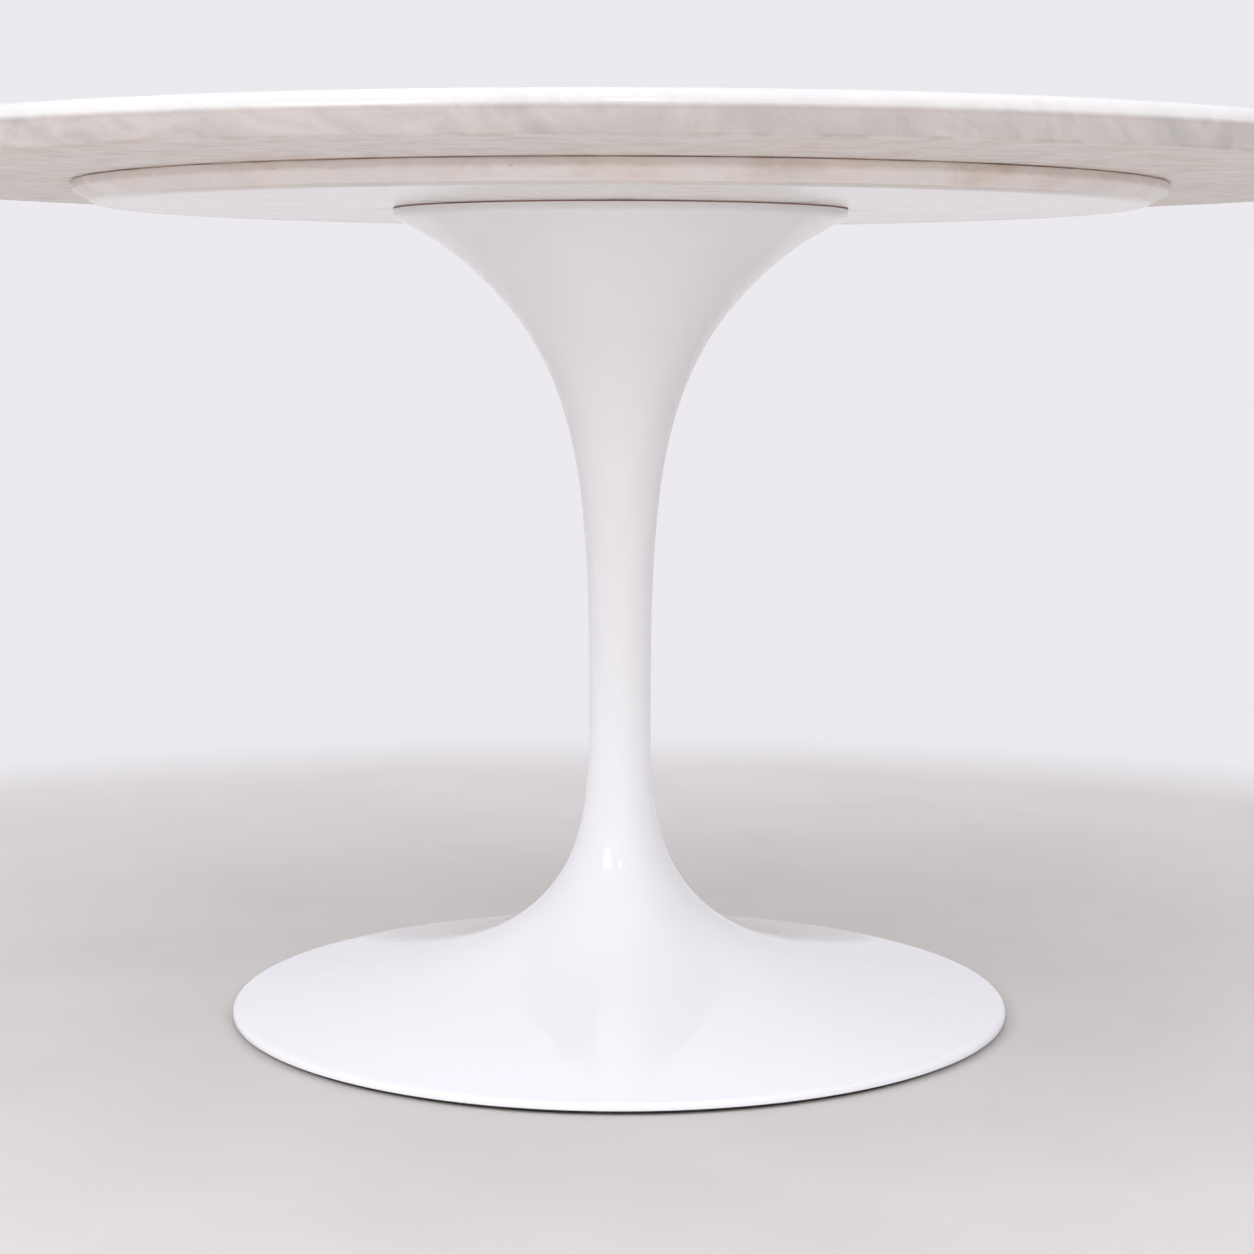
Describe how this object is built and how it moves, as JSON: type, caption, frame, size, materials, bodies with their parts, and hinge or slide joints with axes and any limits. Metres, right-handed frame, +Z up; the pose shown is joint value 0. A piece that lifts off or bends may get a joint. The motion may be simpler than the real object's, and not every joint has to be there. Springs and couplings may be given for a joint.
{
  "type": "round pedestal table",
  "caption": "Fixed round dining table: a stone top with a smaller bevelled stone disc bonded under it, pulled down on a one-piece trumpet-shaped metal pedestal by a hidden tie rod",
  "frame": {"origin": "on the floor, under the centre of the top", "axes": "+Z up along the pedestal's axis; the table is round, so +X and +Y are any two level directions at right angles"},
  "size_m": [1.3198, 1.32, 0.74],
  "materials": {
    "marble": "polished",
    "stone_adhesive": "matt",
    "insert_brass": "satin",
    "zinc_steel": "satin",
    "plate_steel": "satin",
    "gasket_fibre": "matt",
    "white_coating": "gloss",
    "black_rubber": "matt"
  },
  "bodies": {
    "root": {"top_slab": "marble", "slab_adhesive": "stone_adhesive", "backing_slab": "marble", "slab_inserts": "insert_brass", "plate_screws": "zinc_steel", "mounting_plate": "plate_steel", "flange_gasket": "gasket_fibre", "pedestal": "white_coating", "foot_ring": "black_rubber", "tie_rod": "zinc_steel", "hub_washer": "zinc_steel", "lock_washer": "zinc_steel", "hub_nut": "zinc_steel"}
  },
  "joints": []
}
